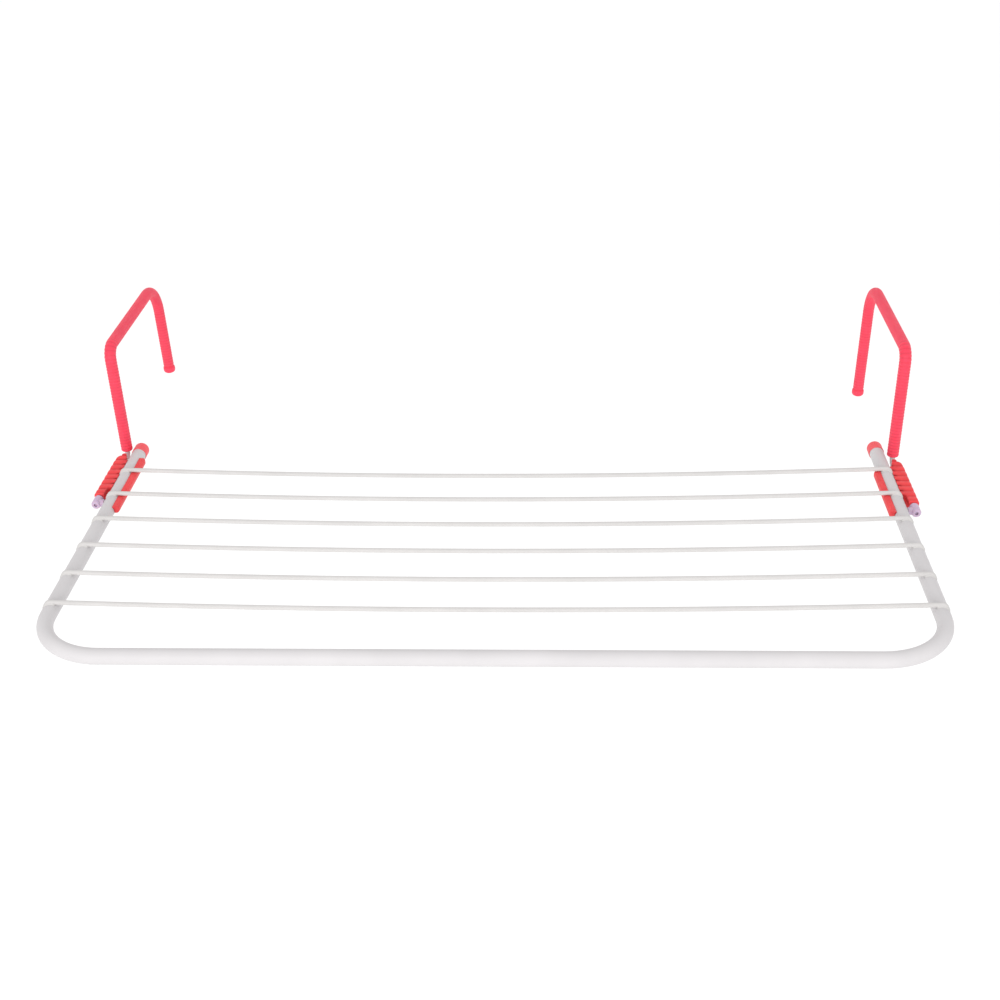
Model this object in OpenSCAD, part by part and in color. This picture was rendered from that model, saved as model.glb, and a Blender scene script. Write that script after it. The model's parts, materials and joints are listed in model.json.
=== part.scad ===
// Drying rack that hangs over a rail. A bent tube frame carries six drying wires. Two bent hook
// wires hold it level in use: each one's foot snaps into a clip on an arm of the frame. Unsnapped,
// the frame folds down on the hooks' pins.
// Origin: X at mid width, Y at the rail's front face, Z at the rail's top.

/* [Frame] */
// Overall width across the two arms
rack_w = 1000; // [700:10:1200]
// Depth from the rail's front face to the front of the frame
rack_d = 498; // [496:2:560]
// Outer diameter of the frame tube
tube_d = 18; // [17:0.5:19]
// Wall thickness of the frame tube
tube_wall = 1.2; // [0.8:0.1:2]
// Bend radius of the front corners, at the tube's axis
corner_r = 78; // [40:2:80]

/* [Drying wires] */
// Diameter of a drying wire
wire_d = 5.5; // [4:0.5:6]
// Distance from the front tube's axis to the first drying wire
wire_start = 89; // [82:0.5:90]
// Distance between neighbouring drying wires
wire_pitch = 63.5; // [55:0.5:64]
// Sag of the front drying wire at mid span
front_sag = 8.5; // [2:0.5:10]
// Sag of the rear drying wire at mid span
rear_sag = 10; // [2:0.5:12]

/* [Pin holes] */
// Distance from the front tube's axis to the first pin hole
hole_start = 314.5; // [300:0.5:316]
// Distance between neighbouring pin holes
hole_pitch = 21; // [20:1:24]
// Hole that the left hook is pinned in, counted from the front
left_hole = 2; // [1:1:3]
// Hole that the right hook is pinned in, counted from the front
right_hole = 1; // [1:1:3]

/* [Hooks] */
// Diameter of the hook wire
rod_d = 7; // [6:0.5:8]
// Distance from an arm's outer side to the hook wire's axis
foot_out = 10; // [10:0.5:12]
// Length of the hook's foot, from the pin to the front leg
foot_len = 146; // [140:1:150]
// Drop of the foot's rear end below the pin
foot_drop = 10; // [6:1:10]
// Height of the hook's bar above the pin, at the wire's axis
hook_rise = 153; // [120:0.5:200]
// Length of the bar between the two legs
hook_reach = 237; // [140:1:260]
// Distance that the front leg's top stands forward of its foot
front_lean = 8; // [0:1:20]
// Distance that the back leg's end stands back from its top, over the height of the hook
back_lean = 17; // [0:1:20]
// Length of the left back leg, from the bar's axis to the end of the tip cap
left_tail = 144; // [100:0.5:190]
// Length of the right back leg, from the bar's axis to the end of the tip cap
right_tail = 178.5; // [100:0.5:190]

/* [Sleeves and caps] */
// Outer diameter of the sleeve on the hook wire
sleeve_d = 15.2; // [13:0.2:16]
// Outer diameter of a tip cap
tip_d = 17; // [16:0.5:18]
// Length of a tip cap
tip_len = 12; // [10:1:16]
// Outer diameter of an end cap
cap_d = 19.6; // [19.4:0.2:20.6]
// Length of an end cap
cap_len = 20; // [15:1:24]

/* [Clips] */
// Distance from the pin to the front end of the clip's outer block
block_front = 12; // [11:0.5:14]
// Distance from the pin to the rear end of the clip's outer block
block_rear = 126; // [120:1:128]
// Length of the left clip's inner bar in front of the pin
left_bar_front = 22; // [12:1:26]
// Distance from the pin to the rear end of the left clip's inner bar
left_bar_rear = 112; // [80:1:118]
// Length of the right clip's inner bar in front of the pin
right_bar_front = 14; // [12:1:26]
// Distance from the pin to the rear end of the right clip's inner bar
right_bar_rear = 94; // [80:1:118]
// Width of the inner bar beside the arm
bar_out = 6.5; // [5:0.5:9]
// Reach of the outer block beyond the arm
block_out = 17; // [17:0.5:19]
// Number of ribs on the outer block
rib_count = 8; // [6:1:10]

/* [Hidden] */
$fn = 48;

paint = [0.93, 0.91, 0.91];
coral = [0.97, 0.33, 0.41];
brick = [0.90, 0.31, 0.31];
nylon = [0.95, 0.92, 0.94];

wire_count = 6;
hole_count = 3;
// Radial gap between a rod and the hole it runs or sits in
fit = 0.05;
// Gap between the frame and what turns on it
gap = 0.4;
// Extra length that carries a cut past a face
past = 1;
// Straight runs of a bent rod reach this far into its elbows, which are slimmer by twice skin
lap = 0.2;
skin = 0.01;

// Frame
arm_x = (rack_w - tube_d) / 2;
tube_z = -(hook_rise - sleeve_d / 2);
front_y = -(rack_d - tube_d / 2);
cap_floor = 3;
cap_edge_r = 4.5;
arm_end_y = -(cap_floor + fit);

// Drying wires: how deep the weld lets a wire sink into the top of an arm
weld_sink = 1.2;
wire_end_z = tube_z + (tube_d + wire_d) / 2 - weld_sink;
// Straight runs in each half of a drying wire's curve, and the radius of the bends between them
wire_steps = 3;
wire_bend_r = 9000;

// Hooks: each pin runs through the arm's outer side and stops short of its inner side
foot_x = rack_w / 2 + foot_out;
pin_stop = 1.5;
pin_x = rack_w / 2 - tube_d + tube_wall + pin_stop;
pin_bend_r = 7.5;
heel_bend_r = 10;
front_bend_r = 16;
back_bend_r = 50;
// Height above the pin where the sleeve starts
sleeve_start = 2;
// Thickness of a tip cap below the end of the hook wire
tip_floor = 3;
tip_edge_r = 4;
knuckle_d = 11.6;
knuckle_front = 6.5;
knuckle_rear = 10;
knuckle_edge_r = 2.5;
// The bar that joins the knuckle to the arm, and the dimple in the knuckle's front
neck_d = 9.6;
dimple_d = 4.4;
dimple_depth = 2.6;

// Clips, measured from the pin: +X away from the frame, +Y to the rear
grip_r = tube_d / 2 + fit;
shell_r = grip_r + 2.6;
lip_x = 7;
lip_top = 6.8;
bar_bottom = -2.5;
bar_edge_r = 3.6;
block_edge_r = 4;
block_bottom = -5.5;
foot_slope = atan(foot_drop / foot_len);
// Cuts across the corners of the block's rear end, beside the arm and on the outer side
rear_cut_w = [5, 8];
rear_cut_len = [20, 15];
// The slot in the block's front end, beside the arm
slot_len = 20;
slot_w = 5;
slot_floor = -3;
rib_pitch = (block_rear - block_front - 6) / rib_count;

function unit(v) = v / norm(v);
function pin_y(hole) = front_y + hole_start + (hole - 1) * hole_pitch;
function turn_angle(a, b) = acos(unit(a) * unit(b));
// Length that a bend of radius r takes from each of the two runs it joins
function setback(a, b, r) = r * tan(turn_angle(a, b) / 2);

// The hook wire's corners, measured from the pin
function heel() = [foot_x, foot_len, -foot_drop];
function front_top() = [foot_x, foot_len - front_lean, hook_rise];
function back_top() = front_top() + [0, hook_reach, 0];
function tail_dir() = unit([0, back_lean, -hook_rise]);
// A point on the back leg, at a depth below the bar's axis
function tail_point(depth) = back_top() + tail_dir() * depth / -tail_dir().z;
function leg_point(height) = heel() + (front_top() - heel()) * (height + foot_drop)
    / (hook_rise + foot_drop);

// Straight rod between two points
module rod(p, q, d) {
    run = q - p;
    translate(p)
        rotate([0, acos(run.z / norm(run)), atan2(run.y, run.x)])
            cylinder(d = d, h = norm(run));
}

// Elbow where a rod turns at corner p from direction a to direction b
module elbow(p, a, b, r, d) {
    u = unit(a);
    n = unit(unit(b) - u * (u * unit(b)));
    k = cross(u, n);
    c = p - u * setback(a, b, r) + n * r;
    multmatrix([
        [-n.x, u.x, k.x, c.x],
        [-n.y, u.y, k.y, c.y],
        [-n.z, u.z, k.z, c.z],
        [0, 0, 0, 1]
    ])
        rotate_extrude(angle = turn_angle(a, b), $fn = max(96, 4 * 360 / turn_angle(a, b)))
            translate([r, 0])
                circle(d = d - 2 * skin);
}

// Rod of diameter d through a list of points, with a bend at each inner point
module bent_rod(points, bends, d) {
    last = len(points) - 1;
    for (i = [0:last - 1]) {
        run = points[i + 1] - points[i];
        before = i == 0 ? 0 : setback(points[i] - points[i - 1], run, bends[i - 1]) - lap;
        after = i == last - 1 ? 0 : setback(run, points[i + 2] - points[i + 1], bends[i]) - lap;
        rod(points[i] + unit(run) * before, points[i + 1] - unit(run) * after, d);
    }
    for (i = [1:last - 1])
        elbow(points[i], points[i] - points[i - 1], points[i + 1] - points[i], bends[i - 1], d);
}

// The same part on the left (-1) or the right (1), at its hook's own pin hole
module on_side(side) {
    mirror([side < 0 ? 1 : 0, 0, 0])
        translate([0, pin_y(side < 0 ? left_hole : right_hole), tube_z])
            children();
}

// Rectangle with round corners of radius r
module round_rect(w, h, r) {
    translate([r, 0])
        square([w - 2 * r, h]);
    translate([0, r])
        square([w, h - 2 * r]);
    for (x = [r, w - r], y = [r, h - r])
        translate([x, y])
            circle(r = r);
}

// Bar along Y with the round_rect section, from y0 to y1
module round_bar(x, z, w, h, r, y0, y1) {
    translate([x, y1, z])
        rotate([90, 0, 0])
            linear_extrude(y1 - y0)
                round_rect(w, h, r);
}

module frame_path(d, overrun) {
    bent_rod(
        [
            [-arm_x, arm_end_y + overrun, tube_z],
            [-arm_x, front_y, tube_z],
            [arm_x, front_y, tube_z],
            [arm_x, arm_end_y + overrun, tube_z]
        ],
        [corner_r, corner_r],
        d
    );
}

module frame_tube() {
    color(paint)
        difference() {
            frame_path(tube_d, 0);
            frame_path(tube_d - 2 * tube_wall, past);
            for (side = [-1, 1], hole = [1:hole_count])
                translate([side * arm_x, pin_y(hole), tube_z])
                    rotate([0, side * 90, 0])
                        cylinder(d = rod_d + 2 * fit, h = tube_d / 2 + past);
        }
}

// Drying wire 1 is at the front. Each hangs in a shallow curve, welded on top of both arms.
module drying_wire(index) {
    y = front_y + wire_start + (index - 1) * wire_pitch;
    sag = front_sag + (rear_sag - front_sag) * (index - 1) / (wire_count - 1);
    points = [
        for (t = [-1:1 / wire_steps:1 + 0.5 / wire_steps])
            [t * rack_w / 2, y, wire_end_z - sag * (1 - t * t)]
    ];
    color(paint)
        difference() {
            bent_rod(points, [for (i = [2:2 * wire_steps]) wire_bend_r], wire_d);
            for (side = [-1, 1])
                translate([side * arm_x, y, tube_z])
                    rotate([90, 0, 0])
                        cylinder(d = tube_d, h = 4 * wire_d, center = true);
        }
}

// Cup that is pushed over the open end of an arm. Its flat rear face bears on the rail.
module end_cap(side) {
    color(brick)
        translate([side * arm_x, 0, tube_z])
            rotate([90, 0, 0])
                rotate_extrude()
                    difference() {
                        union() {
                            square([cap_d / 2 - cap_edge_r, cap_len]);
                            translate([0, cap_edge_r])
                                square([cap_d / 2, cap_len - cap_edge_r]);
                            translate([cap_d / 2 - cap_edge_r, cap_edge_r])
                                intersection() {
                                    circle(r = cap_edge_r);
                                    translate([0, -cap_edge_r])
                                        square(cap_edge_r);
                                }
                        }
                        translate([0, cap_floor])
                            square([tube_d / 2 + fit, cap_len]);
                    }
}

// The hook wire's run. Its first point is extended by reach into the frame.
module hook_path(d, reach, tail) {
    bent_rod(
        [
            [pin_x - reach, 0, 0],
            [foot_x, 0, 0],
            heel(),
            front_top(),
            back_top(),
            tail_point(tail)
        ],
        [pin_bend_r, heel_bend_r, front_bend_r, back_bend_r],
        d
    );
}

module hook_wire(side) {
    tail = side < 0 ? left_tail : right_tail;
    color(paint)
        on_side(side)
            hook_path(rod_d, 0, tail - tip_floor);
}

// Soft sleeve from just behind the clip to the tip cap
module hook_sleeve(side) {
    tail = side < 0 ? left_tail : right_tail;
    color(coral)
        on_side(side)
            difference() {
                bent_rod(
                    [leg_point(sleeve_start), front_top(), back_top(), tail_point(tail - tip_len)],
                    [front_bend_r, back_bend_r],
                    sleeve_d
                );
                bent_rod(
                    [
                        leg_point(sleeve_start - past),
                        front_top(),
                        back_top(),
                        tail_point(tail - tip_len + past)
                    ],
                    [front_bend_r, back_bend_r],
                    rod_d + 2 * fit
                );
            }
}

// Round-ended cap on the tip of the back leg
module tip_cap(side) {
    tail = side < 0 ? left_tail : right_tail;
    lean = atan2(tail_dir().y, -tail_dir().z);
    color(coral)
        on_side(side)
            translate(tail_point(tail))
                rotate([lean, 0, 0])
                    rotate_extrude()
                        difference() {
                            union() {
                                square([tip_d / 2 - tip_edge_r, tip_len]);
                                translate([0, tip_edge_r])
                                    square([tip_d / 2, tip_len - 2 * tip_edge_r]);
                                translate([0, tip_len - tip_edge_r])
                                    square([tip_d / 2 - tip_edge_r / 2, tip_edge_r]);
                                for (z = [tip_edge_r, tip_len - tip_edge_r])
                                    translate([tip_d / 2 - tip_edge_r, z])
                                        circle(r = tip_edge_r);
                            }
                            translate([0, tip_floor])
                                square([rod_d / 2 + fit, tip_len]);
                        }
}

// White knuckle moulded over the bend where the foot turns into the pin, dimpled in its front
module pivot_knuckle(side) {
    span = knuckle_front + knuckle_rear;
    color(nylon)
        on_side(side)
            difference() {
                union() {
                    translate([foot_x, knuckle_rear, 0])
                        rotate([90, 0, 0])
                            rotate_extrude()
                                difference() {
                                    union() {
                                        square([knuckle_d / 2, span - knuckle_edge_r]);
                                        square([knuckle_d / 2 - knuckle_edge_r, span]);
                                        translate([
                                            knuckle_d / 2 - knuckle_edge_r,
                                            span - knuckle_edge_r
                                        ])
                                            circle(r = knuckle_edge_r);
                                    }
                                    translate([0, span - dimple_depth])
                                        square([dimple_d / 2, dimple_depth + past]);
                                }
                    translate([rack_w / 2 + gap, 0, 0])
                        rotate([0, 90, 0])
                            cylinder(d = neck_d, h = foot_out - gap);
                }
                hook_path(rod_d + 2 * fit, 0, left_tail);
            }
}

// Outline of the outer block seen from above: round at the front, cut to a blunt point at the rear
module block_plan() {
    x0 = arm_x + lip_x;
    x1 = rack_w / 2 + block_out;
    // The round front corner stays clear of the foot's groove
    corner = block_out - foot_out - rod_d / 2 - 2.5 * gap;
    difference() {
        translate([x0, block_front])
            square([x1 - x0, block_rear - block_front]);
        polygon([
            [x0 - past, block_rear - rear_cut_len[0]],
            [rack_w / 2, block_rear - rear_cut_len[0]],
            [rack_w / 2 + rear_cut_w[0], block_rear],
            [rack_w / 2 + rear_cut_w[0], block_rear + past],
            [x0 - past, block_rear + past]
        ]);
        polygon([
            [x1 - rear_cut_w[1], block_rear],
            [x1, block_rear - rear_cut_len[1]],
            [x1 + past, block_rear - rear_cut_len[1]],
            [x1 + past, block_rear + past],
            [x1 - rear_cut_w[1], block_rear + past]
        ]);
        translate([x1 - corner, block_front + corner])
            difference() {
                translate([0, -corner - past])
                    square(corner + past);
                circle(r = corner);
            }
    }
}

// Ribbed outer block. Its underside follows the slope of the foot.
module outer_block() {
    x0 = arm_x + lip_x;
    w = rack_w / 2 + block_out - x0;
    deep = 30;
    groove_r = 2.4;
    groove_rise = 0.9;
    notch_r = 2.6;
    difference() {
        intersection() {
            round_bar(
                x0 - block_edge_r, -deep, w + block_edge_r, deep + lip_top, block_edge_r,
                block_front, block_rear
            );
            rotate([-foot_slope, 0, 0])
                round_bar(
                    x0 - block_edge_r, block_bottom, w + block_edge_r, deep, block_edge_r,
                    0, block_rear + 2 * past
                );
            translate([0, 0, -deep])
                linear_extrude(2 * deep)
                    block_plan();
        }
        // Grooves across the top and notches in the edge beside the arm leave a row of ribs
        for (i = [1:rib_count - 1]) {
            y = block_front + 3 + i * rib_pitch;
            translate([x0 - past, y, lip_top + groove_rise])
                rotate([0, 90, 0])
                    cylinder(r = groove_r, h = w + 2 * past);
            translate([rack_w / 2, y, 0])
                cylinder(r = notch_r, h = lip_top + past);
        }
        translate([x0 - past, block_front - past, slot_floor])
            cube([slot_w + rack_w / 2 - x0, slot_len + past, lip_top - slot_floor + past]);
    }
}

// Round-edged bar along the inner side of the arm, from front before the pin to rear behind it
module inner_bar(front, rear) {
    x0 = rack_w / 2 - tube_d - bar_out;
    w = arm_x - lip_x - x0;
    h = lip_top - bar_bottom;
    intersection() {
        round_bar(x0, bar_bottom, w + bar_edge_r, h, bar_edge_r, -front, rear);
        translate([x0, -front, bar_bottom])
            linear_extrude(h)
                intersection() {
                    round_rect(w + bar_edge_r, front + rear, bar_edge_r);
                    square([w, front + rear]);
                }
    }
}

// Half shell under the arm that joins the bar to the block
module clip_shell(rear) {
    translate([arm_x, rear, 0])
        rotate([90, 0, 0])
            linear_extrude(rear - block_front)
                intersection() {
                    circle(r = shell_r);
                    translate([-shell_r - past, -shell_r - past])
                        square([2 * (shell_r + past), shell_r + past]);
                }
}

// Clip on the arm. The hook's foot snaps up into a groove in its outer block.
module arm_clip(side) {
    bar_front = side < 0 ? left_bar_front : right_bar_front;
    bar_rear = side < 0 ? left_bar_rear : right_bar_rear;
    color(brick)
        on_side(side)
            difference() {
                union() {
                    outer_block();
                    inner_bar(bar_front, bar_rear);
                    clip_shell(bar_rear);
                }
                translate([arm_x, 2 * block_rear, 0])
                    rotate([90, 0, 0])
                        cylinder(r = grip_r, h = 4 * block_rear);
                hook_path(rod_d + 2 * fit, 0, left_tail);
                translate([foot_x - rod_d / 2 - gap, 0, 0])
                    rotate([-foot_slope, 0, 0])
                        translate([0, 0, -foot_len])
                            cube([rod_d + 2 * gap, foot_len + past, foot_len]);
            }
}

frame_tube();
drying_wire(1);  // drying_wire_1
drying_wire(2);  // drying_wire_2
drying_wire(3);  // drying_wire_3
drying_wire(4);  // drying_wire_4
drying_wire(5);  // drying_wire_5
drying_wire(6);  // drying_wire_6
end_cap(-1);  // left_end_cap
end_cap(1);  // right_end_cap
hook_wire(-1);  // left_hook_wire
hook_wire(1);  // right_hook_wire
pivot_knuckle(-1);  // left_pivot_knuckle
pivot_knuckle(1);  // right_pivot_knuckle
arm_clip(-1);  // left_clip
arm_clip(1);  // right_clip
hook_sleeve(-1);  // left_hook_sleeve
hook_sleeve(1);  // right_hook_sleeve
tip_cap(-1);  // left_tip_cap
tip_cap(1);  // right_tip_cap
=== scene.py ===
"""Looks of the over-rail drying rack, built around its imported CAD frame."""
import json
import math
import random

import bpy
from mathutils import Matrix, Vector


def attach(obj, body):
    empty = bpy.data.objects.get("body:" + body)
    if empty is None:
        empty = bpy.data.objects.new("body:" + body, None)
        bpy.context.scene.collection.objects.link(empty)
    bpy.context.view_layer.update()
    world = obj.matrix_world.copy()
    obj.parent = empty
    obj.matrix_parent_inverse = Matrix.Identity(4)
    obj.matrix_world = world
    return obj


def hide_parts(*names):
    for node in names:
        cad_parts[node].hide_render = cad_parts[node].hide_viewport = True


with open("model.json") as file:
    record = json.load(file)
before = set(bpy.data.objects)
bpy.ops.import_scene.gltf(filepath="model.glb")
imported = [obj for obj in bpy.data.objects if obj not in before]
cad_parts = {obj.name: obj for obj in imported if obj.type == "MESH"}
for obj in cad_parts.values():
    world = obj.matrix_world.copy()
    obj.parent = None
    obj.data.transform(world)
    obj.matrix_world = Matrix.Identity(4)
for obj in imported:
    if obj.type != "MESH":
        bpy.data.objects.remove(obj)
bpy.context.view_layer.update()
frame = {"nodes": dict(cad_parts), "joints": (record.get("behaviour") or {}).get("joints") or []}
NODES = frame["nodes"]
MM = 0.001

random.seed(7)

# ---------------------------------------------------------------- camera

PITCH, YAW, ROLL = (math.radians(v) for v in (28.87, 3.06, -1.50))
turn = Matrix.Rotation(YAW, 3, "Z")
right = turn @ Vector((1, 0, 0))
look = turn @ Vector((0, math.cos(PITCH), -math.sin(PITCH)))
up = turn @ Vector((0, math.sin(PITCH), math.cos(PITCH)))
cam_x = right * math.cos(ROLL) + up * math.sin(ROLL)
cam_y = up * math.cos(ROLL) - right * math.sin(ROLL)
CAM_PLACE = (0.0859, -1.7408, 0.7351)
LENS = 52.33
cam = bpy.data.objects.new("camera", bpy.data.cameras.new("camera"))
bpy.context.scene.collection.objects.link(cam)
cam.matrix_world = Matrix.Translation(CAM_PLACE) @ Matrix(
    (cam_x, cam_y, -look)).transposed().to_4x4()
cam.data.lens = LENS
cam.data.sensor_width = 36
cam.data.clip_end = 50
bpy.context.scene.camera = cam

# ---------------------------------------------------------------- measures, in mm

TUBE_R = 9.0
RACK_HALF_W = 500.0
ARM_X = RACK_HALF_W - TUBE_R
TUBE_Z = -145.4
FRONT_Y = -489.0
WIRE_R = 2.75
WIRE_START = 89.0
WIRE_PITCH = 63.5
WIRE_COUNT = 6
FRONT_SAG = 8.5
REAR_SAG = 10.0
WELD_SINK = 1.2

FOOT_X = 510.0
FOOT_LEN = 146.0
FOOT_DROP = 10.0
HOOK_RISE = 153.0
HOOK_REACH = 237.0
FRONT_LEAN = 8.0
BACK_LEAN = 17.0
TAIL = {"left": 144.0, "right": 178.5}
ROD_R = 3.5
SLEEVE_R = 7.6
SLEEVE_START = 2.0
FRONT_BEND = 16.0
BACK_BEND = 50.0
TIP_LEN = 12.0

PINS = {j["child"].split("_")[0]: Vector(j["pos_m"]) / MM for j in frame["joints"]}

# ---------------------------------------------------------------- materials


def node(tree, kind, values=None, **fields):
    n = tree.nodes.new(kind)
    for k, v in fields.items():
        setattr(n, k, v)
    for k, v in (values or {}).items():
        n.inputs[k].default_value = v
    return n


def shade(color, factor):
    return tuple(min(1, c * factor) for c in color) + (1,)


def finish(name, color, rough, mottle=0.05, mottle_scale=30.0, grain=0.00006, grain_scale=900.0,
           wear=0.15, wear_color=None, wear_r=0.0006, rough_spread=0.12, painted_shade=0.0, **shader):
    """A procedural finish: mottled colour, worn edges, painted shade from a mesh attribute, uneven
    gloss and a fine grain.
    """
    mat = bpy.data.materials.new(name)
    mat.use_nodes = True
    t = mat.node_tree
    t.nodes.clear()
    link = t.links.new
    out = node(t, "ShaderNodeOutputMaterial")
    bsdf = node(t, "ShaderNodeBsdfPrincipled", shader)
    link(bsdf.outputs[0], out.inputs[0])
    where = node(t, "ShaderNodeTexCoord").outputs["Object"]

    def noise(scale, detail=3.0, rough=0.55):
        n = node(t, "ShaderNodeTexNoise", {"Scale": scale, "Detail": detail, "Roughness": rough})
        link(where, n.inputs["Vector"])
        return n.outputs[0]

    # colour: broad mottling, then edges where the finish thins, then painted shade where the mesh
    # marks hollows
    broad = node(t, "ShaderNodeMapRange", {"From Min": 0.3, "From Max": 0.7})
    link(noise(mottle_scale), broad.inputs[0])
    mix = node(t, "ShaderNodeMix", data_type="RGBA")
    mix.inputs[6].default_value = shade(color, 1 - mottle)
    mix.inputs[7].default_value = shade(color, 1 + mottle)
    link(broad.outputs[0], mix.inputs[0])
    tint = mix.outputs[2]
    if wear:
        geo = node(t, "ShaderNodeNewGeometry")
        bevel = node(t, "ShaderNodeBevel", {"Radius": wear_r}, samples=4)
        dot = node(t, "ShaderNodeVectorMath", operation="DOT_PRODUCT")
        link(bevel.outputs[0], dot.inputs[0])
        link(geo.outputs["Normal"], dot.inputs[1])
        edge = node(t, "ShaderNodeMapRange", {"From Min": 0.995, "From Max": 0.85, "To Max": wear})
        link(dot.outputs["Value"], edge.inputs[0])
        broken = node(t, "ShaderNodeMath", operation="MULTIPLY")
        link(edge.outputs[0], broken.inputs[0])
        link(noise(220.0, 4.0, 0.7), broken.inputs[1])
        worn = node(t, "ShaderNodeMix", data_type="RGBA")
        worn.inputs[7].default_value = (wear_color or shade(color, 0.55)[:3]) + (1,)
        link(broken.outputs[0], worn.inputs[0])
        link(tint, worn.inputs[6])
        tint = worn.outputs[2]
    # painted shade: the colour darkens by the mesh's attribute, which marks rib valleys and
    # grooves
    if painted_shade:
        depth = node(t, "ShaderNodeAttribute", attribute_name="painted_shade")
        amount = node(t, "ShaderNodeMath", {1: painted_shade}, operation="MULTIPLY")
        link(depth.outputs["Fac"], amount.inputs[0])
        shaded = node(t, "ShaderNodeMix", data_type="RGBA")
        shaded.inputs[7].default_value = shade(color, 0.45)
        link(amount.outputs[0], shaded.inputs[0])
        link(tint, shaded.inputs[6])
        tint = shaded.outputs[2]
    link(tint, bsdf.inputs["Base Color"])

    # gloss: uneven over a few millimetres
    gloss = node(t, "ShaderNodeMapRange", {"From Min": 0.25, "From Max": 0.75,
                                           "To Min": rough - rough_spread / 2,
                                           "To Max": rough + rough_spread / 2})
    link(noise(160.0, 5.0, 0.6), gloss.inputs[0])
    link(gloss.outputs[0], bsdf.inputs["Roughness"])

    # relief: the finish's own grain
    relief = node(t, "ShaderNodeBump", {"Strength": 0.6, "Distance": grain})
    link(noise(grain_scale, 2.0, 0.5), relief.inputs["Height"])
    link(relief.outputs[0], bsdf.inputs["Normal"])
    return mat


DIM_GLOSS = {"Specular IOR Level": 0.12}
WHITE = finish("white_enamel", (0.56, 0.543, 0.55), 0.46, mottle=0.03, mottle_scale=14.0,
               grain=0.00012, grain_scale=650.0, wear=0.3, wear_color=(0.38, 0.36, 0.35),
               **DIM_GLOSS)
WIRE_WHITE = finish("wire_enamel", (0.55, 0.535, 0.527), 0.46, mottle=0.035, mottle_scale=22.0,
                    grain=0.0001, grain_scale=800.0, wear=0.2, wear_color=(0.38, 0.36, 0.35),
                    **DIM_GLOSS)
ROD_WHITE = finish("hook_rod", (0.56, 0.54, 0.545), 0.46, mottle=0.04, grain_scale=800.0,
                   **DIM_GLOSS)
NYLON = finish("nylon", (0.50, 0.37, 0.50), 0.42, mottle=0.05, mottle_scale=60.0, wear=0.4,
               wear_color=(0.28, 0.18, 0.28), **{"Subsurface Weight": 0.1,
                                                 "Subsurface Scale": 0.002})
# the sleeve's rib valleys get painted shade from the mesh attribute
CORAL = finish("sleeve", (0.80, 0.047, 0.092), 0.5, mottle=0.05, mottle_scale=45.0,
               grain=0.00005, grain_scale=1500.0, wear=0.0, rough_spread=0.16, painted_shade=0.28,
               **{"Subsurface Weight": 0.08, "Subsurface Scale": 0.002, "Sheen Weight": 0.04,
                  "Specular IOR Level": 0.3})
# the clip's rib grooves get strong painted shade from the mesh attribute
BRICK = finish("clip", (0.74, 0.052, 0.058), 0.5, mottle=0.1, mottle_scale=60.0,
               grain=0.00012, grain_scale=1100.0, wear=0.5, wear_color=(0.85, 0.16, 0.14),
               wear_r=0.0008, painted_shade=0.85, **{"Specular IOR Level": 0.3})
CAP_RED = finish("end_cap", (0.80, 0.085, 0.10), 0.45, mottle=0.07, mottle_scale=50.0,
                 grain=0.0001, grain_scale=1200.0, wear=0.4, wear_color=(0.88, 0.28, 0.27),
                 **{"Specular IOR Level": 0.3})

# ---------------------------------------------------------------- mesh tools


def bent_path(points, bends, step):
    """Samples (point, direction, distance) along a polyline with a round bend at each corner."""
    pts = [Vector(p) for p in points]
    out = []
    travelled = 0.0
    last = len(pts) - 1
    start = pts[0]
    for i in range(last):
        run = (pts[i + 1] - pts[i]).normalized()
        if i < last - 1:
            nxt = (pts[i + 2] - pts[i + 1]).normalized()
            angle = run.angle(nxt)
            back = bends[i] * math.tan(angle / 2)
        else:
            angle, back = 0.0, 0.0
        end = pts[i + 1] - run * back
        length = (end - start).length
        n = max(1, round(length / step))
        for k in range(n):
            out.append((start.lerp(end, k / n), run, travelled + length * k / n))
        travelled += length
        if angle:
            side = (nxt - run * nxt.dot(run)).normalized()
            centre = end + side * bends[i]
            arc = bends[i] * angle
            n = max(2, round(arc / step))
            for k in range(n):
                a = angle * k / n
                out.append((centre + (run * math.sin(a) - side * math.cos(a)) * bends[i],
                            run * math.cos(a) + side * math.sin(a), travelled + arc * k / n))
            travelled += arc
            start = centre + (run * math.sin(angle) - side * math.cos(angle)) * bends[i]
        else:
            out.append((end, run, travelled))
    return out


def resample(path, step):
    """The same path with even spacing, so that ribs keep their pitch through the bends."""
    total = path[-1][2]
    n = max(2, round(total / step))
    out = []
    k = 0
    for i in range(n + 1):
        s = total * i / n
        while k < len(path) - 2 and path[k + 1][2] < s:
            k += 1
        p, d, s0 = path[k]
        q, e, s1 = path[k + 1]
        f = (s - s0) / (s1 - s0) if s1 > s0 else 0
        out.append((p.lerp(q, f), d.lerp(e, f).normalized(), s))
    return out


def mesh_object(name, verts, faces, material, body, smooth_angle=35):
    """A mesh piece from millimetre points, riding on a CAD body."""
    data = bpy.data.meshes.new(name)
    data.from_pydata([Vector(v) * MM for v in verts], [], faces)
    data.validate()
    data.update()
    obj = bpy.data.objects.new(name, data)
    bpy.context.scene.collection.objects.link(obj)
    data.materials.append(material)
    data.shade_smooth()
    data.set_sharp_from_angle(angle=math.radians(smooth_angle))
    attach(obj, body)
    return obj


def bridge(rings, closed=False):
    """Faces between equal rings of points, in order. closed joins the last ring to the first."""
    n = len(rings[0])
    faces = []
    pairs = list(zip(range(len(rings) - 1), range(1, len(rings))))
    if closed:
        pairs.append((len(rings) - 1, 0))
    for a, b in pairs:
        for i in range(n):
            j = (i + 1) % n
            faces.append((a * n + i, a * n + j, b * n + j, b * n + i))
    return faces


# ---------------------------------------------------------------- hook sleeves

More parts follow.
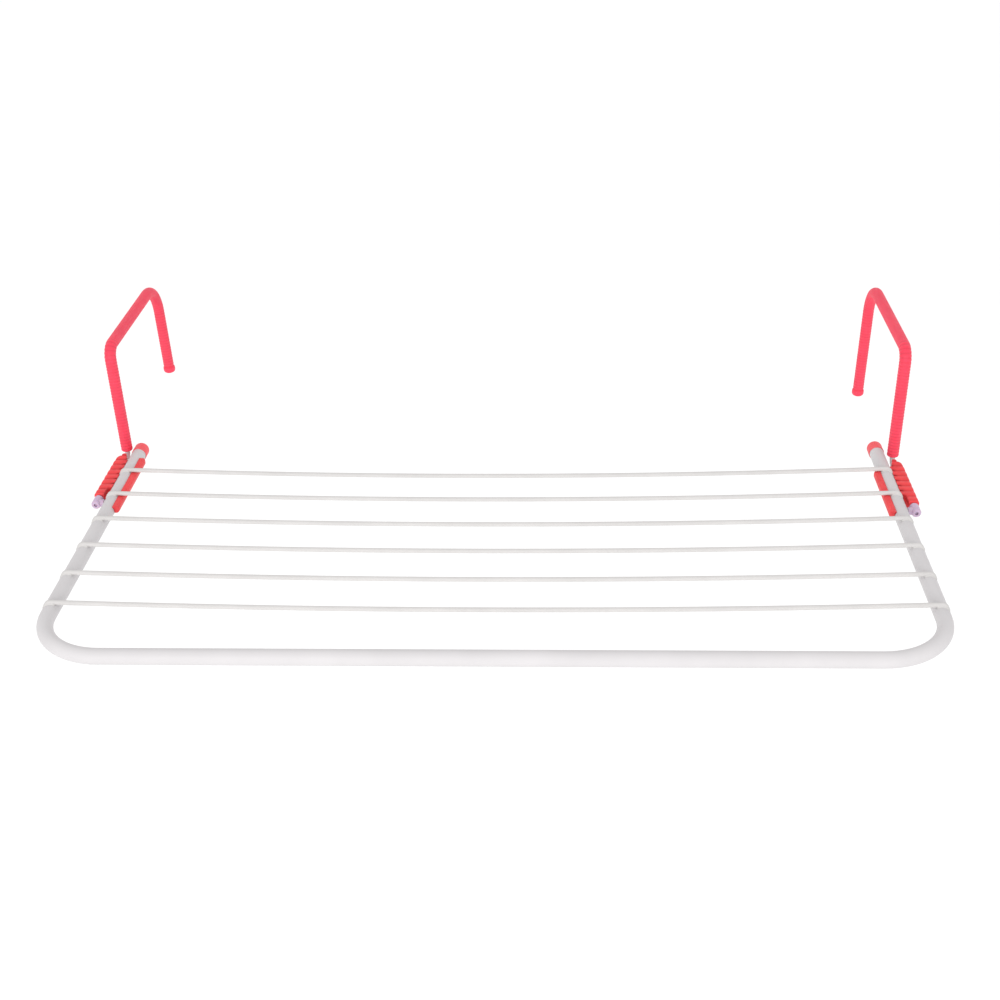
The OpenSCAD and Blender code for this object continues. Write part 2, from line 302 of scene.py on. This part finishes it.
RIB_PITCH = 4.4
RIB_DEPTH = 0.4
RIB_STEPS = 8
SLEEVE_SIDES = 32
LIP_LEN = 0.8
LIP_DEPTH = 0.5
BORE_CLEAR = 0.12
INTO_TIP = 1.0


def hook_points(side):
    s = -1 if side == "left" else 1
    x = s * FOOT_X
    pin = PINS[side]
    heel = Vector((x, pin.y + FOOT_LEN, pin.z - FOOT_DROP))
    front_top = Vector((x, pin.y + FOOT_LEN - FRONT_LEAN, pin.z + HOOK_RISE))
    back_top = front_top + Vector((0, HOOK_REACH, 0))
    lean = Vector((0, BACK_LEAN, -HOOK_RISE)).normalized()
    return heel, front_top, back_top, lean


def leg_point(heel, top, height):
    return heel.lerp(top, (height + FOOT_DROP) / (HOOK_RISE + FOOT_DROP))


def build_sleeve(side):
    heel, front_top, back_top, lean = hook_points(side)
    depth = TAIL[side] - TIP_LEN + INTO_TIP
    start = leg_point(heel, front_top, SLEEVE_START)
    end = back_top + lean * depth / -lean.z
    path = resample(bent_path([start, front_top, back_top, end], [FRONT_BEND, BACK_BEND], 2.0),
                    RIB_PITCH / RIB_STEPS)
    total = path[-1][2]
    ribs = round(total / RIB_PITCH)
    verts = []

    def ring(p, d, r, squash=1.0):
        across = Vector((1, 0, 0))
        rise = d.cross(across)
        for k in range(SLEEVE_SIDES):
            a = 2 * math.pi * k / SLEEVE_SIDES
            verts.append(p + across * math.cos(a) * r + rise * math.sin(a) * r * squash)

    # painted shade: each ring's darkening follows the depth of its rib valley
    painted_shade = []
    count = 0
    for p, d, s in path:
        phase = s / total * ribs
        valley = abs(math.cos(math.pi * phase)) ** 4
        lip = min(1.0, min(s, total - s) / LIP_LEN)
        ring(p, d, SLEEVE_R - RIB_DEPTH * valley - LIP_DEPTH * (1 - lip) ** 2)
        painted_shade += [valley] * SLEEVE_SIDES
        count += 1
    inner = [path[-1]] + path[::-1][8:-8:24] + [path[0]]
    for p, d, s in inner:
        ring(p, d, ROD_R + BORE_CLEAR)
        painted_shade += [0.0] * SLEEVE_SIDES
        count += 1
    rings = [range(i * SLEEVE_SIDES, (i + 1) * SLEEVE_SIDES) for i in range(count)]
    obj = mesh_object(side + "_ribbed_sleeve", verts, bridge(rings, closed=True), CORAL,
                      side + "_hook", 50)
    obj.data.attributes.new("painted_shade", "FLOAT", "POINT").data.foreach_set("value", painted_shade)
    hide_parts(side + "_hook_sleeve")
    return obj


def build_tip(side):
    _, _, back_top, lean = hook_points(side)
    end = back_top + lean * TAIL[side] / -lean.z
    # (distance up from the end, radius): a dimpled, round-cornered end, a fat bead and a neck
    profile = [(1.0, 0.01), (0.95, 1.6), (0.55, 2.6), (0.1, 3.6), (0.0, 4.8), (0.2, 6.1),
               (0.8, 7.2), (1.8, 8.0), (3.0, 8.4), (4.6, 8.5), (6.4, 8.5), (7.8, 8.35),
               (8.8, 7.9), (9.5, 7.1), (10.0, 6.5), (10.6, 6.3), (11.3, 6.3), (12.0, 6.2),
               (11.9, 3.62), (3.4, 3.6), (3.1, 0.01)]
    sides = 40
    across = Vector((1, 0, 0))
    rise = lean.cross(across)
    verts = []
    for up_by, r in profile:
        p = end - lean * up_by
        for k in range(sides):
            a = 2 * math.pi * k / sides
            verts.append(p + (across * math.cos(a) + rise * math.sin(a)) * r)
    rings = [range(i * sides, (i + 1) * sides) for i in range(len(profile))]
    faces = bridge(rings)
    faces.append(tuple(reversed(range(sides))))
    faces.append(tuple(range((len(profile) - 1) * sides, len(profile) * sides)))
    obj = mesh_object(side + "_bead_tip", verts, faces, CORAL, side + "_hook", 60)
    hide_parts(side + "_tip_cap")
    return obj


# ---------------------------------------------------------------- drying wires

FILLET_R = 1.5
FILLET_STEPS = 4
CROWN_STEPS = 20
# the weld grows as the wire comes this near the tube, and stops this short of the tube's side
WELD_NEAR = 0.7
WELD_EDGE = 0.4
UNDERSIDE = 0.12
WIRE_SHORT = 0.15
END_LEN = 9.0
END_HALF_H = 1.5
END_HALF_W = 3.1
# how far the flattened end follows the round of the arm, and where its tip is rounded off
END_FOLLOW = 8.2
TIP_ROUND = 2.2
TIP_ROUND_LEN = 2.05
TIP_LEAST = 0.08


def tube_top(d):
    """Height of the arm's top above its axis, d away from the middle of the arm."""
    return math.sqrt(max(0.0, TUBE_R ** 2 - min(abs(d), TUBE_R) ** 2))


def wire_section(d, lift, half_w, half_h):
    """The wire's section over an arm: a flattened round, with a weld fillet down to the tube.

    d is the distance from the middle of the arm, and lift the height of the wire's middle above
    the arm's axis. Returns (y, z) pairs with z from the arm's axis.
    """
    top = tube_top(d)
    h = lift - top
    merge = max(0.0, min(1.0, (half_h + WELD_NEAR - h) / WELD_NEAR))
    merge = merge if abs(d) < TUBE_R - WELD_EDGE else 0.0
    fillet = FILLET_R * merge
    pts = []
    if fillet > 0.05 and h < half_h + 0.65:
        # fillet centre: fillet above the tube, and fillet outside the wire's side
        hh = min(h, half_h + fillet * 0.3)
        reach = math.sqrt(max(0.04, (half_h + fillet) ** 2 - (hh - fillet) ** 2))
        reach *= half_w / half_h if hh < half_h else 1.0
        touch = math.atan2(fillet - hh, reach)
        for k in range(FILLET_STEPS + 1):
            a = -math.pi / 2 - (math.pi / 2 + touch) * k / FILLET_STEPS
            pts.append((reach + fillet * math.cos(a), top + fillet + fillet * math.sin(a)))
        low = math.asin(max(-0.98, min(0.98, (pts[-1][1] - lift) / half_h)))
    else:
        low = -math.pi / 2 + UNDERSIDE
        for k in range(FILLET_STEPS + 1):
            a = -math.pi / 2 + UNDERSIDE * k / FILLET_STEPS
            pts.append((half_w * math.cos(a), lift + half_h * math.sin(a)))
    for k in range(1, CROWN_STEPS // 2 + 1):
        a = low + (math.pi / 2 - low) * k / (CROWN_STEPS // 2)
        pts.append((half_w * math.cos(a), lift + half_h * math.sin(a)))
    mirrored = [(-y, z) for y, z in reversed(pts[:-1])]
    return pts + mirrored


def build_wire(index):
    y0 = FRONT_Y + WIRE_START + (index - 1) * WIRE_PITCH
    sag = FRONT_SAG + (REAR_SAG - FRONT_SAG) * (index - 1) / (WIRE_COUNT - 1)
    rest = TUBE_R + WIRE_R - WELD_SINK
    jitter = random.Random(index)
    # two draws for each end, of which the second one shortens the flattened end
    ends = {s: (jitter.uniform(-0.5, 0.5), jitter.uniform(0.0, 1.0)) for s in (-1, 1)}
    # sections stand close together over the last 30 mm and 10 mm apart between the arms
    stations = [RACK_HALF_W - WIRE_SHORT - 0.5 * k for k in range(61)]
    stations += [RACK_HALF_W - 30 - 10 * k for k in range(1, 47)]
    xs = sorted(set([-x for x in stations] + [0.0] + stations))
    verts, rings = [], []
    for x in xs:
        s = -1 if x < 0 else 1
        short = ends[s][1]
        out = abs(x) - (RACK_HALF_W - END_LEN - short)
        t = max(0.0, min(1.0, out / END_LEN))
        ease = t * t * (3 - 2 * t)
        half_h = WIRE_R + (END_HALF_H - WIRE_R) * ease
        half_w = WIRE_R + (END_HALF_W - WIRE_R) * math.sin(math.pi * min(1, t * 0.75))
        round_off = max(0.0, min(1.0, (abs(x) - (RACK_HALF_W - TIP_ROUND)) / TIP_ROUND_LEN))
        shrink = math.sqrt(max(0.0, 1 - round_off ** 2)) * (1 - TIP_LEAST) + TIP_LEAST
        half_h *= shrink
        half_w *= shrink
        d = abs(x) - ARM_X
        lift = rest - sag * (1 - (x / RACK_HALF_W) ** 2)
        # the flattened end is pressed down onto the round of the tube
        follow = tube_top(min(d, END_FOLLOW)) + END_HALF_H * 0.6
        lift += (min(lift, follow) - lift) * ease
        ring = []
        for y, z in wire_section(d, lift, half_w, half_h):
            ring.append(len(verts))
            verts.append((x, y0 + y, TUBE_Z + z))
        rings.append(ring)
    faces = bridge(rings)
    faces.append(tuple(reversed(rings[0])))
    faces.append(tuple(rings[-1]))
    name = "drying_wire_%d" % index
    obj = mesh_object("welded_wire_%d" % index, verts, faces, WIRE_WHITE, "frame", 50)
    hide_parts(name)
    return obj


# ---------------------------------------------------------------- clips, measured from the pin

BLOCK_FRONT = 12.0
BLOCK_REAR = 126.0
RIB_COUNT = 8
FIRST_GROOVE = 3.0
CLIP_RIB_PITCH = (BLOCK_REAR - BLOCK_FRONT - 6.0) / RIB_COUNT
CLIP_VOXEL = 0.0008
BLOCK_TOP = 6.8
# the grooves start just outside the arm, and fade out downwards and away from it
GROOVE_START = 0.3
GROOVE_LOW = 1.0
GROOVE_DOWN = 1.9
GROOVE_OUT = 2.0
GROOVE_OUT_REACH = 5.0
# painted shade in the clip's grooves: strongest beside the arm, falling off over this reach to
# this least share
SHADE_REACH = 6.0
SHADE_LEAST = 0.25


def build_clip(side):
    """The moulded clip: the CAD solid with soft edges, and swollen ribs along its outer block."""
    cad = NODES[side + "_clip"]
    rough = bpy.data.objects.new(side + "_clip_rough", cad.data.copy())
    bpy.context.scene.collection.objects.link(rough)
    remesh = rough.modifiers.new("remesh", "REMESH")
    remesh.mode = "VOXEL"
    remesh.voxel_size = CLIP_VOXEL
    soften = rough.modifiers.new("soften", "SMOOTH")
    soften.factor = 0.5
    soften.iterations = 5
    soft = rough.evaluated_get(bpy.context.evaluated_depsgraph_get()).to_mesh()
    place = cad.matrix_world
    verts = [place @ v.co / MM for v in soft.vertices]
    faces = [tuple(f.vertices) for f in soft.polygons]
    spare = rough.data
    bpy.data.objects.remove(rough)
    bpy.data.meshes.remove(spare)
    s = -1 if side == "left" else 1
    pin = PINS[side]
    # painted shade: darkens the rib grooves, more beside the arm
    painted_shade = []
    for v in verts:
        out = s * v.x - RACK_HALF_W
        y = v.y - pin.y - BLOCK_FRONT - FIRST_GROOVE
        groove = lift = 0.0
        if out > GROOVE_START and 0 < y < RIB_COUNT * CLIP_RIB_PITCH:
            groove = (0.5 + 0.5 * math.cos(2 * math.pi * y / CLIP_RIB_PITCH)) ** 2
            lift = max(0.0, min(1.0, (v.z - pin.z - GROOVE_LOW) / (BLOCK_TOP - GROOVE_LOW)))
        beside_arm = max(0.0, 1 - out / SHADE_REACH)
        painted_shade.append(groove * lift * (SHADE_LEAST + (1 - SHADE_LEAST) * beside_arm))
        v.z -= GROOVE_DOWN * groove * lift
        v.x += s * GROOVE_OUT * groove * lift * max(0.0, 1 - out / GROOVE_OUT_REACH)
    obj = mesh_object(side + "_soft_clip", verts, faces, BRICK, "frame", 80)
    obj.data.attributes.new("painted_shade", "FLOAT", "POINT").data.foreach_set("value", painted_shade)
    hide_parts(side + "_clip")
    return obj


# ---------------------------------------------------------------- the pieces

for side in ("left", "right"):
    build_sleeve(side)
    build_tip(side)
    build_clip(side)
for i in range(WIRE_COUNT):
    build_wire(i + 1)

CAD_FINISH = {"frame_tube": WHITE}
for side in ("left", "right"):
    CAD_FINISH[side + "_end_cap"] = CAP_RED
    CAD_FINISH[side + "_hook_wire"] = ROD_WHITE
    CAD_FINISH[side + "_clip"] = BRICK
    CAD_FINISH[side + "_pivot_knuckle"] = NYLON
for name, mat in CAD_FINISH.items():
    for slot in NODES[name].material_slots:
        slot.material = mat

# ---------------------------------------------------------------- stage and light

FLOOR_Z = -0.95
FLOOR_GLOW = 0.07


def stage_plane(name, size, height, color):
    data = bpy.data.meshes.new(name)
    h = size / 2
    data.from_pydata([(-h, -h, height), (h, -h, height), (h, h, height), (-h, h, height)], [],
                     [(0, 1, 2, 3)])
    obj = bpy.data.objects.new(name, data)
    bpy.context.scene.collection.objects.link(obj)
    mat = bpy.data.materials.new(name)
    mat.use_nodes = True
    bsdf = mat.node_tree.nodes["Principled BSDF"]
    bsdf.inputs["Base Color"].default_value = color + (1,)
    bsdf.inputs["Roughness"].default_value = 0.9
    bsdf.inputs["Emission Color"].default_value = (1, 1, 1, 1)
    bsdf.inputs["Emission Strength"].default_value = FLOOR_GLOW
    data.materials.append(mat)
    return obj


stage_plane("floor", 40.0, FLOOR_Z, (0.90, 0.90, 0.90))


def area_light(name, place, target, size, power, color=(1, 1, 1)):
    data = bpy.data.lights.new(name, "AREA")
    data.shape = "SQUARE"
    data.size = size
    data.energy = power
    data.color = color
    obj = bpy.data.objects.new(name, data)
    bpy.context.scene.collection.objects.link(obj)
    obj.location = place
    obj.rotation_euler = (Vector(target) - Vector(place)).to_track_quat("-Z", "Y").to_euler()
    return obj


area_light("key", (-0.9, -2.9, 0.5), (0, -0.1, -0.1), 0.9, 28)
area_light("fill", (1.5, -2.2, 0.4), (0, -0.1, -0.1), 1.0, 8)

world = bpy.data.worlds.new("studio")
bpy.context.scene.world = world
world.use_nodes = True
world.node_tree.nodes["Background"].inputs[0].default_value = (1, 1, 1, 1)
world.node_tree.nodes["Background"].inputs[1].default_value = 1.05
bpy.context.scene.view_settings.view_transform = "Standard"
